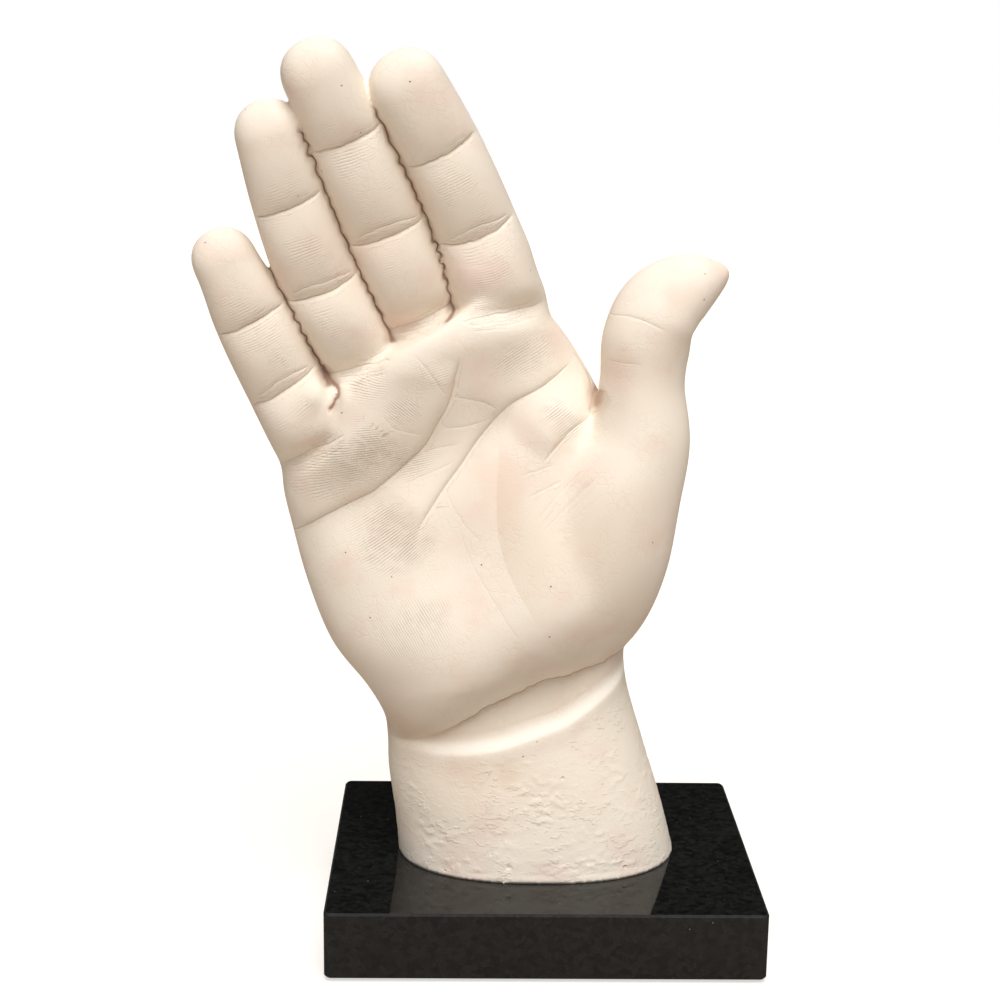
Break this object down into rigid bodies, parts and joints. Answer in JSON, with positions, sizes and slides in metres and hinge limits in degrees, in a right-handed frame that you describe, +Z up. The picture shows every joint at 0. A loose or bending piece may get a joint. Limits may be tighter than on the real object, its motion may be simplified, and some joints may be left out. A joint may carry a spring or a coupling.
{
  "type": "hand sculpture",
  "caption": "Life-cast open right hand in cream plaster, cut at the forearm and standing palm-forward on a polished black granite plinth.",
  "frame": {"origin": "centre of the plinth's footprint, on the felt's underside", "axes": "+Z up, +X towards the thumb's side, -Y the way the palm faces"},
  "size_m": [0.1558, 0.094, 0.2477],
  "materials": {
    "plaster": "matte cast plaster, cream",
    "granite": "polished black granite",
    "rod_steel": "zinc plated thread",
    "resin": "set resin",
    "washer_steel": "zinc plated",
    "nut_steel": "zinc plated",
    "felt": "dark felt"
  },
  "bodies": {
    "root": {"hand_cast": "plaster", "granite_plinth": "granite", "anchor_rod": "rod_steel", "anchor_resin": "resin", "rod_washer": "washer_steel", "rod_nut": "nut_steel", "felt_sheet": "felt"}
  },
  "joints": []
}
